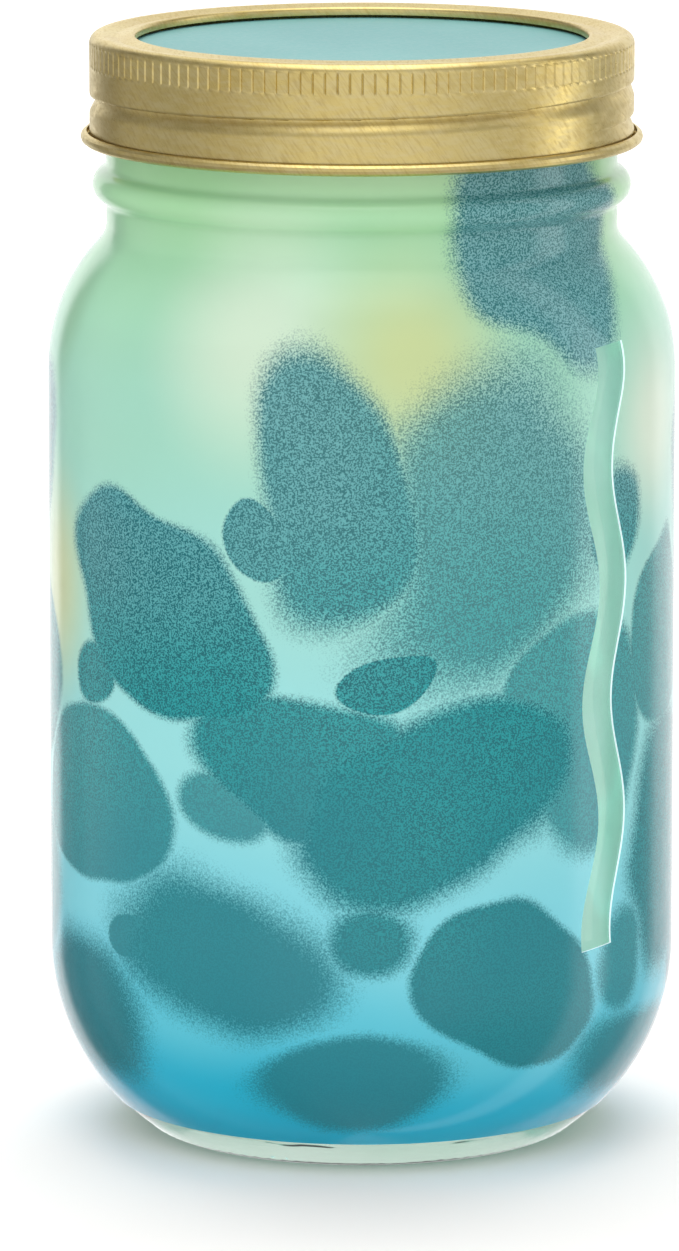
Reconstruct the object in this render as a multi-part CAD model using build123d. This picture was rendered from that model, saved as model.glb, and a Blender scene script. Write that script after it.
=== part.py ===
from build123d import *
import math
import os

# A wide-mouth glass jar with a two-piece screw lid, packed as a hydroponic planter.
# Frame: millimetres, +Z up, the origin under the centre of the base, the viewer in front on the -Y side.

# Glass jar: its finish is placed by the lip and the mouth, and its body by the neck
lip_height = 171.4
mouth_radius = 37.4
finish_wall = 2.45
neck_radius = mouth_radius + finish_wall
lip_chamfer = 0.9
neck_ring_drop = 20.7
neck_ring_height = lip_height - neck_ring_drop
neck_ring_reach = 2.1
neck_ring_round = 2.4
neck_ring_flank_deg = 40
neck_foot_drop = 6.3
neck_fillet = 4.0
shoulder_overhang = 9.25
body_radius = neck_radius + shoulder_overhang
shoulder_radius = 29.0
heel_radius = 36.0
foot_radius = 32.07
foot_round = 3.0
bearing_ring_width = 2.0
push_up_depth = 3.2
glass_wall = 3.2
floor_thickness = 3.8
floor_fillet = 8.0

# Screw thread, shared by the glass and the band
thread_pitch = 5.08
thread_reach = 1.85
thread_running_gap = 0.3
glass_thread_root_width = 2.8
glass_thread_crest_width = 1.1
glass_thread_start_deg = -320
glass_thread_turn_deg = 430
thread_fade_deg = 50
thread_steps = 26
thread_end_share = 0.08
root_bite = 0.3

# Screw band, rolled from sheet
band_sheet = 0.4
band_radius = neck_radius + thread_reach + thread_running_gap * 2 + band_sheet
band_height = 17.0
band_lip_width = 7.2
band_lip_drop = 1.35
band_valley_inset = 4.3
band_valley_drop = 0.55
band_crown_inset = 2.1
band_edge_round = 1.4
bead_roll_radius = 0.7
bead_roll_deg = 285
groove_depth = 1.15
groove_top_width = 0.35
groove_bottom_width = 2.0
band_groove_start_deg = -305
band_groove_turn_deg = 425
knurl_count = 140
knurl_depth = 0.26
knurl_half_width = 0.36
knurl_top_drop = 1.5
knurl_length = 2.9

# Flat lid disc, its gasket and its label
disc_sheet = 0.3
disc_side_gap = 0.5
disc_radius = band_radius - band_sheet - disc_side_gap
disc_ring_width = 4.3
disc_ring_inner_radius = disc_radius - disc_ring_width
disc_step_width = 0.6
disc_ring_gap = 0.1
disc_panel_drop = 0.9
disc_rim_drop = 0.8
gasket_width = 2.9
gasket_thickness = 0.89
gasket_side_gap = 0.25
gasket_seat_gap = 0.06
gasket_chamfer = 0.3
label_thickness = 0.12
label_edge_gap = 0.6

# Printed coat and its sight strip
print_thickness = 0.3
print_gap = 0.02
print_bottom_height = 5.0
print_top_drop = 11.9
strip_azimuth_deg = 49.8
strip_width = 6.9
strip_bottom_height = 35.0
strip_rise_on_shoulder = 8.0
strip_wave_length = 36.5
strip_wave_reach = 1.9
strip_crest_drop = 37.3
strip_slant = 0.5
strip_points_per_wave = 8

# Slotted pot that hangs in the mouth
pot_sheet = 0.6
pot_flange_overhang = 2.0
pot_mouth_gap = 0.5
pot_collar_depth = 6.0
pot_depth = 66.0
pot_floor_radius = 27.0
pot_flange_chamfer = 0.8
pot_floor_chamfer = 3.0
pot_slot_width = 4.0
pot_slot_length = 12.0
pot_slot_spacing = 15.5
pot_slot_count = 12
pot_slot_tiers = 3
pot_low_slot_height = 14.0
floor_slot_count = 8
floor_slot_width = 3.0
floor_slot_length = 10.0
floor_slot_inset = 5.5
wick_slot_gap = 0.8

# Felt wick
wick_thickness = 2.4
wick_width = 12.0
wick_rise_in_plug = 18.0
wick_sway = 5.0
wick_foot_length = 20.0
wick_floor_gap = 0.2
wick_bend_round = 7.0
wick_sway_round = 30.0
wick_low_sway_share = 0.34
wick_high_sway_share = 0.68

# Coir plug
plug_height = 37.0
plug_side_gap = 0.5
plug_seat_gap = 0.25
seed_hollow_radius = 6.0
seed_hollow_tip_radius = 3.0
seed_hollow_depth = 7.0
plug_slot_gap = 0.4

# Packets in the pot and the sachet on the floor
packet_gap = 0.1
seed_packet_corner_gap = 3.0
packet_width_share = 0.79
seed_packet_thickness = 1.6
seed_packet_flap = 11.0
paper_fold = 0.4
food_sachet_corner_gap = 5.0
food_sachet_thickness = 5.0
sachet_seal_width = 4.0
sachet_seal_thickness = 0.6
sachet_corner = 2.0
card_corner_gap = 3.8
card_panel = 0.35
card_panel_count = 4
card_fold_gap = 0.12
card_fold_share = 0.45
carbon_sachet_length = 36.0
carbon_sachet_width = 26.0
carbon_sachet_thickness = 8.0
carbon_sachet_offset = 15.5
corner_round = 1.2

# One overrun for every cut
overrun = 1.0


# Shared helpers
def arc_about(centre, start, end):
    """The short arc from start to end about centre."""
    hub = Vector(*centre)
    first = Vector(*start) - hub
    middle = hub + (first + Vector(*end) - hub).normalized() * first.length
    return ThreePointArc(start, middle, end)


def toward(start, end, distance):
    """The point at a distance from start on the way to end."""
    way = Vector(*end) - Vector(*start)
    point = Vector(*start) + way.normalized() * distance
    return (point.X, point.Y)


def leg(hypotenuse, side):
    return math.sqrt(hypotenuse**2 - side**2)


def lathe(section):
    """A section drawn as (radius, height), turned about the jar's axis."""
    return revolve(Plane.XZ * section, Axis.Z)


def sheet_section(points, rounds, thickness):
    """A strip of sheet along a line of points, drawn as (radius, height)."""
    return trace(FilletPolyline(*points, radius=rounds), thickness)


def band_of_heights(low, high, radius):
    """A rectangle in (radius, height) from the axis to a radius, between two heights."""
    return Pos(radius / 2, (low + high) / 2) * Rectangle(radius, high - low)


# Glass jar
def heel_centre():
    """Centre of the heel's arc, which rolls from the body wall down to the foot."""
    across = body_radius - heel_radius
    return (across, foot_round + leg(heel_radius - foot_round, foot_radius - across))


def shoulder_centre():
    """Centre of the shoulder's arc, as far below the neck's foot as the fillet between them needs."""
    across = body_radius - shoulder_radius
    drop = leg(shoulder_radius + neck_fillet, neck_radius + neck_fillet - across)
    return (across, neck_ring_height - neck_foot_drop - drop)


def outside_edges(grow):
    """The jar's outside from the heel up to the finish, grown outward by a distance."""
    heel = heel_radius + grow
    heel_end = (body_radius + grow, heel_centre()[1])
    foot_centre = (foot_radius, foot_round)
    heel_start = toward(heel_centre(), foot_centre, heel)
    floor_point = (foot_radius, -grow)

    shoulder = shoulder_radius + grow
    neck = neck_radius + grow
    fillet_centre = (neck_radius + neck_fillet, neck_ring_height - neck_foot_drop)
    shoulder_start = (body_radius + grow, shoulder_centre()[1])
    shoulder_end = toward(shoulder_centre(), fillet_centre, shoulder)
    neck_start = (neck, fillet_centre[1])

    ring_centre = (neck_radius + neck_ring_reach - neck_ring_round, neck_ring_height)
    ring = neck_ring_round + grow
    steep = math.cos(math.radians(neck_ring_flank_deg))
    level = math.sin(math.radians(neck_ring_flank_deg))
    flank_x = ring_centre[0] + ring * level
    flank_rise = ring * steep
    foot_rise = flank_rise + (flank_x - neck) * level / steep
    ring_low = (neck, neck_ring_height - foot_rise)
    ring_start = (flank_x, neck_ring_height - flank_rise)
    ring_end = (flank_x, neck_ring_height + flank_rise)
    ring_high = (neck, neck_ring_height + foot_rise)
    finish_end = (neck, lip_height - lip_chamfer)
    return [
        arc_about(foot_centre, floor_point, heel_start),
        arc_about(heel_centre(), heel_start, heel_end),
        Line(heel_end, shoulder_start),
        arc_about(shoulder_centre(), shoulder_start, shoulder_end),
        arc_about(fillet_centre, shoulder_end, neck_start),
        Line(neck_start, ring_low),
        Line(ring_low, ring_start),
        arc_about(ring_centre, ring_start, ring_end),
        Line(ring_end, ring_high),
        Line(ring_high, finish_end),
    ]


def grown_section(grow):
    """The jar's outside as a filled half section, grown outward by a distance."""
    edges = outside_edges(grow)
    low = edges[0] @ 0
    high = edges[-1] @ 1
    closing = Polyline((high.X, high.Y), (0, high.Y), (0, low.Y), (low.X, low.Y))
    return make_face([*edges, *closing.edges()])


def glass_section():
    edges = outside_edges(0)
    low = edges[0] @ 0
    bearing_inner = low.X - bearing_ring_width
    dome_side = (bearing_inner / 2, push_up_depth * 3 / 4)
    floor_height = push_up_depth + floor_thickness

    heel_x, heel_height = heel_centre()
    inner_heel = heel_radius - glass_wall
    corner_reach = leg(inner_heel - floor_fillet, heel_height - floor_height - floor_fillet)
    corner_centre = (heel_x + corner_reach, floor_height + floor_fillet)
    floor_end = (corner_centre[0], floor_height)
    heel_start = toward(heel_centre(), corner_centre, inner_heel)
    heel_end = (body_radius - glass_wall, heel_height)

    shoulder_x, shoulder_height = shoulder_centre()
    inner_shoulder = shoulder_radius - glass_wall
    inner_fillet = neck_fillet + glass_wall
    fillet_x = mouth_radius + inner_fillet
    fillet_rise = leg(inner_shoulder + inner_fillet, fillet_x - shoulder_x)
    fillet_centre = (fillet_x, shoulder_height + fillet_rise)
    shoulder_start = (body_radius - glass_wall, shoulder_height)
    shoulder_end = toward(shoulder_centre(), fillet_centre, inner_shoulder)
    neck_start = (mouth_radius, fillet_centre[1])
    mouth_end = (mouth_radius, lip_height - lip_chamfer)
    lip_inner = (mouth_radius + lip_chamfer, lip_height)
    lip_outer = (neck_radius - lip_chamfer, lip_height)
    finish_end = (neck_radius, lip_height - lip_chamfer)
    inside = [
        Line(finish_end, lip_outer),
        Line(lip_outer, lip_inner),
        Line(lip_inner, mouth_end),
        Line(mouth_end, neck_start),
        arc_about(fillet_centre, neck_start, shoulder_end),
        arc_about(shoulder_centre(), shoulder_end, shoulder_start),
        Line(shoulder_start, heel_end),
        arc_about(heel_centre(), heel_end, heel_start),
        arc_about(corner_centre, heel_start, floor_end),
        Line(floor_end, (0, floor_height)),
        Line((0, floor_height), (0, push_up_depth)),
        ThreePointArc((0, push_up_depth), dome_side, (bearing_inner, 0)),
        Line((bearing_inner, 0), (low.X, 0)),
    ]
    return make_face([*edges, *inside])


def helical_ridge(root, crest, low_root, low_crest, high_crest, high_root, start_height, start_deg, turn_deg):
    """A thread whose section fades in and out. Heights are measured from the thread's own line."""
    sections = []
    for step in range(thread_steps + 1):
        turned = turn_deg * step / thread_steps
        fade = min(1, turned / thread_fade_deg, (turn_deg - turned) / thread_fade_deg)
        share = thread_end_share + (1 - thread_end_share) * math.sin(fade * math.pi / 2)
        angle = math.radians(start_deg + turned - 90)
        height = start_height + thread_pitch * (start_deg + turned) / 360
        outward = (math.cos(angle), math.sin(angle), 0)
        along = (math.sin(angle), -math.cos(angle), 0)
        tip = root + (crest - root) * share
        outline = Polyline(
            (root, low_root * share),
            (tip, low_crest * share),
            (tip, high_crest * share),
            (root, high_root * share),
            close=True,
        )
        plane = Plane(origin=(0, 0, height), x_dir=outward, z_dir=along)
        sections.append(plane * make_face(outline))
    return loft(sections)


def band_top_height():
    """Top of the band: the pot's flange, the gasket and the disc lie between it and the lip."""
    stack = pot_sheet + gasket_seat_gap + gasket_thickness + disc_sheet + disc_ring_gap
    return lip_height + stack + band_sheet + band_valley_drop


def band_thread_height():
    """Height at which the rolled thread passes the front, half way down the band."""
    return band_top_height() - band_height / 2


def make_glass_jar():
    jar = lathe(glass_section())
    thread = helical_ridge(
        neck_radius - root_bite,
        neck_radius + thread_reach,
        -glass_thread_root_width / 2,
        -glass_thread_crest_width / 2,
        glass_thread_crest_width / 2,
        glass_thread_root_width / 2,
        band_thread_height() + thread_running_gap + glass_thread_crest_width,
        glass_thread_start_deg,
        glass_thread_turn_deg,
    )
    return jar + thread


# Printed coat
def strip_edge(side):
    """The points of one wavy edge of the sight strip: side is -1 on the left and 1 on the right."""
    top = shoulder_centre()[1] + strip_rise_on_shoulder
    count = round((top - strip_bottom_height) / strip_wave_length * strip_points_per_wave)
    points = []
    for index in range(count + 1):
        rise = (top - strip_bottom_height) * index / count
        height = strip_bottom_height + rise + side * strip_slant / 2
        turn = 2 * math.pi * (height - top + strip_crest_drop) / strip_wave_length
        points.append((side * strip_width / 2 + strip_wave_reach * math.cos(turn), height))
    return points


def make_sight_strip_cutter():
    left, right = strip_edge(-1), strip_edge(1)
    edges = [Spline(*left), Line(left[-1], right[-1]), Spline(*right), Line(right[0], left[0])]
    angle = math.radians(strip_azimuth_deg - 90)
    facing = Plane(
        origin=(0, 0, 0),
        x_dir=(-math.sin(angle), math.cos(angle), 0),
        z_dir=(math.cos(angle), math.sin(angle), 0),
    )
    outline = facing.offset(body_radius / 2) * make_face(edges)
    return extrude(outline, body_radius / 2 + overrun)


def make_printed_wrap():
    skin = grown_section(print_gap + print_thickness) - grown_section(print_gap)
    zone = band_of_heights(print_bottom_height, lip_height - print_top_drop, body_radius + overrun)
    return lathe(skin & zone) - make_sight_strip_cutter()


# Screw band
def band_section():
    half = band_sheet / 2
    wall = band_radius - half
    top = band_top_height() - half
    lip = band_radius - band_lip_width + half
    bead_centre = (wall + bead_roll_radius, band_top_height() - band_height + half + bead_roll_radius)
    down = FilletPolyline(
        (lip, band_top_height() - band_lip_drop),
        (lip, top),
        (band_radius - band_valley_inset, top - band_valley_drop),
        (band_radius - band_crown_inset, top),
        (wall, top),
        (wall, bead_centre[1]),
        radius=[0, 0, 0, band_edge_round - half],
    )
    roll = CenterArc(bead_centre, bead_roll_radius, 180, bead_roll_deg)
    return trace([down, roll], band_sheet)


def band_groove():
    """The outside of the rolled thread, carried out past the sheet."""
    spread = 1 + band_sheet / groove_depth
    tip_half = band_sheet / 8
    return helical_ridge(
        band_radius + band_sheet,
        band_radius - groove_depth,
        -groove_bottom_width * spread,
        -tip_half,
        tip_half,
        groove_top_width * spread,
        band_thread_height(),
        band_groove_start_deg,
        band_groove_turn_deg,
    )


def band_ridge():
    """The inside of the rolled thread, which hooks under the thread on the glass."""
    tip_half = band_sheet / 2
    return helical_ridge(
        band_radius - band_sheet + root_bite,
        band_radius - groove_depth - band_sheet,
        -groove_bottom_width - tip_half,
        -tip_half,
        tip_half,
        groove_top_width + band_sheet,
        band_thread_height(),
        band_groove_start_deg,
        band_groove_turn_deg,
    )


def knurl_cutters():
    """Upright V grooves round the band's shoulder."""
    spread = (knurl_depth + overrun) / knurl_depth
    tip = (band_radius - knurl_depth, 0)
    outside = band_radius + overrun
    half = knurl_half_width * spread
    outline = make_face(Polyline(tip, (outside, half), (outside, -half), close=True))
    top = band_top_height() - knurl_top_drop
    groove = extrude(Pos(0, 0, top - knurl_length) * outline, knurl_length)
    return [turned * groove for turned in PolarLocations(0, knurl_count)]


def make_screw_band():
    return lathe(band_section()) + band_ridge() - band_groove() - knurl_cutters()


# Lid disc, gasket and label
def disc_ring_height():
    """Height of the middle of the sheet where the disc lies on its gasket."""
    return lip_height + pot_sheet + gasket_seat_gap + gasket_thickness + disc_sheet / 2


def disc_panel_height():
    return disc_ring_height() - disc_panel_drop


def make_lid_disc():
    rim = disc_radius - disc_sheet / 2
    points = [
        (0, disc_panel_height()),
        (disc_ring_inner_radius - disc_step_width, disc_panel_height()),
        (disc_ring_inner_radius, disc_ring_height()),
        (rim, disc_ring_height()),
        (rim, disc_ring_height() - disc_rim_drop),
    ]
    return lathe(sheet_section(points, 0, disc_sheet))


def make_lid_gasket():
    middle = disc_ring_height() - (disc_sheet + gasket_thickness) / 2
    outer = disc_radius - disc_sheet - gasket_side_gap
    outline = chamfer(Rectangle(gasket_width, gasket_thickness).vertices(), gasket_chamfer)
    return lathe(Pos(outer - gasket_width / 2, middle) * outline)


def make_lid_label():
    low = disc_panel_height() + disc_sheet / 2
    radius = disc_ring_inner_radius - disc_step_width - label_edge_gap
    return Pos(0, 0, low) * extrude(Circle(radius), label_thickness)


# Slotted pot
def pot_floor_height():
    """Height of the top of the pot's floor."""
    return lip_height + pot_sheet - pot_depth


def pot_collar_radius():
    return mouth_radius - pot_mouth_gap - pot_sheet / 2


def pot_wall_radius(height):
    """Middle of the pot's tapered wall at a height."""
    taper_top = lip_height - pot_collar_depth
    floor_middle = pot_floor_height() - pot_sheet / 2
    share = (height - floor_middle) / (taper_top - floor_middle)
    return pot_floor_radius + (pot_collar_radius() - pot_floor_radius) * min(1, share)


def make_net_pot():
    flange = lip_height + pot_sheet / 2
    floor = pot_floor_height() - pot_sheet / 2
    floor_turn = floor + pot_floor_chamfer
    points = [
        (mouth_radius + pot_flange_overhang, flange),
        (pot_collar_radius() + pot_flange_chamfer, flange),
        (pot_collar_radius(), flange - pot_flange_chamfer),
        (pot_collar_radius(), lip_height - pot_collar_depth),
        (pot_wall_radius(floor_turn), floor_turn),
        (pot_floor_radius - pot_floor_chamfer, floor),
        (0, floor),
    ]
    pot = lathe(sheet_section(points, 0, pot_sheet))
    cuts = []
    for tier in range(pot_slot_tiers):
        height = pot_floor_height() + pot_low_slot_height + pot_slot_spacing * tier
        facing = Plane(origin=(pot_floor_radius / 2, 0, height), x_dir=(0, 0, 1), z_dir=(1, 0, 0))
        slot = extrude(facing * SlotOverall(pot_slot_length, pot_slot_width), mouth_radius)
        shift = 180 / pot_slot_count * (tier % 2)
        cuts += [turned * slot for turned in PolarLocations(0, pot_slot_count, start_angle=shift)]
    middle = pot_floor_radius - floor_slot_inset - floor_slot_length / 2
    floor_slot = SlotOverall(floor_slot_length, floor_slot_width)
    radial = Pos(middle, 0, floor) * extrude(floor_slot, overrun, both=True)
    shift = 180 / floor_slot_count
    cuts += [turned * radial for turned in PolarLocations(0, floor_slot_count, start_angle=shift)]
    wick_slot = Rectangle(wick_thickness + wick_slot_gap, wick_width + wick_slot_gap)
    cuts.append(Pos(0, 0, floor) * extrude(wick_slot, overrun, both=True))
    return pot - cuts


# Felt wick
def jar_floor_height():
    return push_up_depth + floor_thickness


def make_felt_wick():
    low = jar_floor_height() + wick_floor_gap + wick_thickness / 2
    under = pot_floor_height() - pot_sheet - wick_thickness
    drop = under - low
    line = FilletPolyline(
        (0, pot_floor_height() + plug_seat_gap + wick_rise_in_plug),
        (0, under),
        (wick_sway, low + drop * wick_high_sway_share),
        (-wick_sway, low + drop * wick_low_sway_share),
        (wick_sway, low),
        (wick_sway + wick_foot_length, low),
        radius=[wick_sway_round, wick_sway_round, wick_sway_round, wick_bend_round],
    )
    return extrude(Plane.XZ * trace(line, wick_thickness), wick_width / 2, both=True)


# Coir plug
def plug_top_height():
    return pot_floor_height() + plug_seat_gap + plug_height


def make_grow_medium():
    low = pot_floor_height() + plug_seat_gap
    top = plug_top_height()
    inset = pot_sheet / 2 + plug_side_gap
    outline = make_face(
        Polyline(
            (0, low),
            (pot_wall_radius(low) - inset, low),
            (pot_wall_radius(top) - inset, top),
            (0, top),
            close=True,
        )
    )
    outer = outline.vertices().filter_by(lambda corner: corner.X > overrun)
    plug = lathe(chamfer(outer, pot_floor_chamfer))
    cone = Cone(seed_hollow_tip_radius, seed_hollow_radius, seed_hollow_depth)
    hollow = Pos(0, 0, top - seed_hollow_depth / 2) * cone
    slot = Rectangle(wick_thickness + plug_slot_gap * 2, wick_width + plug_slot_gap * 2)
    depth = wick_rise_in_plug + plug_slot_gap + overrun
    return plug - hollow - Pos(0, 0, low - overrun) * extrude(slot, depth)


# Packets and sachets
def pillow(length, width, thickness):
    """A sealed sachet that lies on z = 0: a flat seam with a filled bag on both sides."""
    seam = RectangleRounded(length, width, sachet_corner)
    filled = RectangleRounded(length - sachet_seal_width, width - sachet_seal_width, sachet_corner)
    flat = RectangleRounded(length - sachet_seal_width * 2, width - sachet_seal_width * 2, sachet_corner)
    middle = thickness / 2
    bag = loft([Pos(0, 0, middle) * filled, Pos(0, 0, thickness) * flat])
    seam_plate = Pos(0, 0, middle - sachet_seal_thickness / 2) * extrude(seam, sachet_seal_thickness)
    return bag + mirror(bag, Plane.XY.offset(middle)) + seam_plate


def make_carbon_sachet():
    bag = pillow(carbon_sachet_length, carbon_sachet_width, carbon_sachet_thickness)
    return Pos(-carbon_sachet_offset, 0, jar_floor_height() + packet_gap) * Rot(0, 0, 90) * bag


def packet_size(corner_gap):
    """Length and width of a packet whose corners stay this far inside the pot, on top of the plug."""
    diagonal = 2 * (pot_wall_radius(plug_top_height()) - pot_sheet / 2 - corner_gap)
    length = diagonal / math.hypot(1, packet_width_share)
    return length, length * packet_width_share


def make_seed_packet():
    length, width = packet_size(seed_packet_corner_gap)
    body = extrude(RectangleRounded(length, width, corner_round), seed_packet_thickness)
    flap_size = Rectangle(seed_packet_flap, width - corner_round * 2)
    flap = Pos((length - seed_packet_flap) / 2 - corner_round, 0, seed_packet_thickness)
    packet = body + flap * extrude(flap_size, paper_fold)
    return Pos(0, 0, plug_top_height() + packet_gap) * packet


def seed_packet_top():
    return plug_top_height() + packet_gap + seed_packet_thickness + paper_fold


def make_plant_food_sachet():
    bag = pillow(*packet_size(food_sachet_corner_gap), food_sachet_thickness)
    return Pos(0, 0, seed_packet_top() + packet_gap) * bag


def make_instruction_card():
    """A leaflet folded to and fro: its folded edge, drawn out to the card's width."""
    length, width = packet_size(card_corner_gap)
    pitch = card_panel + card_fold_gap
    points = []
    for index in range(card_panel_count):
        ends = [-length / 2, length / 2]
        if index % 2:
            ends.reverse()
        points += [(end, pitch * index) for end in ends]
    rounds = [pitch * card_fold_share] * (len(points) - 2)
    edge = Plane.XZ * trace(FilletPolyline(*points, radius=rounds), card_panel)
    folded = extrude(edge, width / 2, both=True)
    low = seed_packet_top() + packet_gap * 2 + food_sachet_thickness + card_panel / 2
    return Pos(0, 0, low) * folded


# Every piece, under the name of its node
pieces = {
    "glass_jar": make_glass_jar,
    "printed_wrap": make_printed_wrap,
    "screw_band": make_screw_band,
    "lid_disc": make_lid_disc,
    "lid_gasket": make_lid_gasket,
    "lid_label": make_lid_label,
    "net_pot": make_net_pot,
    "felt_wick": make_felt_wick,
    "grow_medium": make_grow_medium,
    "seed_packet": make_seed_packet,
    "plant_food_sachet": make_plant_food_sachet,
    "carbon_sachet": make_carbon_sachet,
    "instruction_card": make_instruction_card,
}

os.makedirs("parts", exist_ok=True)
for name, make_piece in pieces.items():
    export_step(make_piece(), f"parts/{name}.step")
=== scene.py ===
import math

import bmesh
import bpy
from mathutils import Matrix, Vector, noise


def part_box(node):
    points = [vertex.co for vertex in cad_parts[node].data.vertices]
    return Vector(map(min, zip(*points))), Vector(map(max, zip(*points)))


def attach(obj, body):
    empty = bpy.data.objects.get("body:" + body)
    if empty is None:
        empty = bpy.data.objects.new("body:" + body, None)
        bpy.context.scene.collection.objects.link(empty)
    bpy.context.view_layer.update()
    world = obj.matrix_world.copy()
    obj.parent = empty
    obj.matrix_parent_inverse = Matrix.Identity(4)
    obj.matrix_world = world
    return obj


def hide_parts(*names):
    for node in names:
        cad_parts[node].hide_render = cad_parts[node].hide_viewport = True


# A glass planter jar with a printed coat and a gold screw lid, and the planting kit that is packed inside it.
# Metres, +Z up, the origin under the centre of the base, the viewer on the -Y side.
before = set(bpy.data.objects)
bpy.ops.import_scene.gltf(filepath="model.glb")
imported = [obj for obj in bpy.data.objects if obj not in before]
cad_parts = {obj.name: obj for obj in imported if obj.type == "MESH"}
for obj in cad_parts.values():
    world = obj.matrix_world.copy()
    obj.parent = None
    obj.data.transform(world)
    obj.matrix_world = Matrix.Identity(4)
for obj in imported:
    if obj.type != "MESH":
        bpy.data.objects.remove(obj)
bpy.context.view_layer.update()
MM = 0.001

# Glass jar
LIP_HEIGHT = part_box("glass_jar")[1].z
MOUTH_RADIUS = 37.4 * MM
NECK_RADIUS = 39.85 * MM
LIP_ROUND = 0.9 * MM
RING_HEIGHT = LIP_HEIGHT - 20.7 * MM
RING_REACH = 2.1 * MM
RING_ROUND = 2.4 * MM
RING_FILLET = 1.5 * MM
NECK_FOOT = RING_HEIGHT - 6.3 * MM
NECK_FILLET = 4.0 * MM
BODY_RADIUS = 49.1 * MM
SHOULDER_RADIUS = 29.0 * MM
HEEL_RADIUS = 36.0 * MM
FOOT_RADIUS = 32.07 * MM
FOOT_ROUND = 3.0 * MM
BEARING_WIDTH = 2.0 * MM
PUSH_UP = 3.2 * MM
GLASS_WALL = 3.2 * MM
GLASS_FLOOR = 3.8 * MM
FLOOR_FILLET = 8.0 * MM
STIPPLE_COUNT = 90
STIPPLE_REACH = 0.16 * MM
STIPPLE_LOW, STIPPLE_HIGH = 0.25 * MM, 1.15 * MM
RIPPLE_REACH = 0.03 * MM
RIPPLE_PITCH = 1.25 * MM
RIPPLE_LOW, RIPPLE_HIGH = 1.2 * MM, 4.8 * MM

# Screw thread
PITCH = 5.08 * MM
THREAD_REACH = 1.85 * MM
GLASS_THREAD_FRONT = 167.2 * MM
GLASS_THREAD_TURN = (-320, 110)
GLASS_THREAD_CREST = 0.55 * MM
GLASS_THREAD_ROOT = 1.4 * MM
BAND_THREAD_FRONT = 165.8 * MM
BAND_THREAD_TURN = (-305, 120)
FADE_DEG = 50

# Screw band
BAND_SHEET = 0.4 * MM
BAND_RADIUS = 42.7 * MM
BAND_TOP = 174.3 * MM
BAND_FOOT = 157.3 * MM
BAND_LIP_RADIUS = 35.5 * MM
BAND_LIP_DROP = 1.35 * MM
BAND_LIP_ROUND = 0.35 * MM
VALLEY_RADIUS = 38.4 * MM
VALLEY_DROP = 0.55 * MM
VALLEY_ROUND = 1.1 * MM
CROWN_RADIUS = 40.6 * MM
CROWN_ROUND = 1.0 * MM
EDGE_ROUND = 1.3 * MM
BEAD_ROLL = 0.7 * MM
BEAD_DEG = 272
GROOVE_DEPTH = 1.15 * MM
GROOVE_EDGE = 0.55 * MM
GROOVE_ABOVE = 0.12 * MM
GROOVE_BELOW = 2.9 * MM
KNURL_COUNT = 140
KNURL_DEPTH = 0.17 * MM
KNURL_HALF = 0.22 * MM
KNURL_TOP = 172.9 * MM
KNURL_FOOT = 169.8 * MM
KNURL_FADE = 0.5 * MM

# Lid disc, gasket and label
DISC_SHEET = 0.3 * MM
DISC_RADIUS = 41.8 * MM
DISC_RING_HEIGHT = 173.1 * MM
DISC_RING_INNER = 37.5 * MM
DISC_STEP = 0.6 * MM
DISC_PANEL_DROP = 0.9 * MM
DISC_RIM_DROP = 0.8 * MM
DISC_ROUND = 0.25 * MM
GASKET_WIDTH = 2.9 * MM
GASKET_THICKNESS = 0.89 * MM
GASKET_GAP = 0.25 * MM
GASKET_ROUND = 0.28 * MM
LABEL_RADIUS = 36.3 * MM
LABEL_THICKNESS = 0.12 * MM
LABEL_EDGE = 0.03 * MM

# Printed coat and sight strip
PRINT_INNER = 0.02 * MM
PRINT_OUTER = 0.32 * MM
PRINT_FOOT = 5.0 * MM
PRINT_TOP = 159.5 * MM
STRIP_AZIMUTH = math.radians(49.8)
STRIP_HALF = 3.45 * MM
STRIP_FOOT = 35.0 * MM
STRIP_TOP = 129.5 * MM
STRIP_WAVE = 36.5 * MM
STRIP_REACH = 1.9 * MM
STRIP_CREST = 92.2 * MM
STRIP_SLANT = 0.5 * MM

# Studio: how bright the panels are that reflections see, by degrees round from the front, and the soft light
PANELS = [
    (-180, 1.6), (-153, 1.6), (-144, 0.3), (-130, 0.3), (-116, 0.65), (-90, 0.5), (-55, 0.75), (-20, 1.15),
    (20, 1.15), (60, 0.8), (80, 0.7), (90, 2.4), (98, 2.4), (107, 0.45), (130, 0.45), (142, 1.4), (160, 1.5),
    (180, 1.5),
]
PANEL_SCALE = 4.0
TOP_PANEL = 2.9
REAR_DIM = 0.7
LOW_DIM = 0.65
AMBIENT_FRONT, AMBIENT_BACK = 0.74, 1.04
FLOOR_REACH = 3.0
FLOOR_GLOW = (0.05, 0.4)
# Painted light: how strongly the floor glows where it is seen through the glass, lifting the shade under the
# jar
PAINTED_LIGHT_THROUGH_GLASS = 0.4

# Camera
CAMERA_PLACE = (-3.5 * MM, -1400 * MM, 339.1 * MM)
CAMERA_PITCH_DEG = 79.51
CAMERA_LENS, CAMERA_SENSOR = 258.6, 36

# Planting kit
POT_SHEET = 0.6 * MM
POT_FLOOR = 106.0 * MM
POT_WICK_GAP = 0.4 * MM
PLUG_FOOT, PLUG_TOP = 106.25 * MM, 143.25 * MM
PLUG_FOOT_RADIUS, PLUG_RADIUS = 26.22 * MM, 31.76 * MM
PLUG_CHAMFER, PLUG_FLARE, PLUG_ROUND = 3.0 * MM, 0.6 * MM, 1.0 * MM
PLUG_ROUGH = 0.45 * MM
SLOT_OVERRUN = 2.0 * MM
HOLLOW_RADIUS, HOLLOW_TIP, HOLLOW_DEPTH = 6.0 * MM, 3.0 * MM, 7.0 * MM
WICK_WIDTH, WICK_THICKNESS = 12.0 * MM, 2.4 * MM
WICK_EDGE, WICK_FUZZ = 0.8 * MM, 0.12 * MM
WICK_BENDS = [30 * MM, 30 * MM, 30 * MM, 7 * MM]
WICK_TOP = 124.2 * MM
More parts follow.
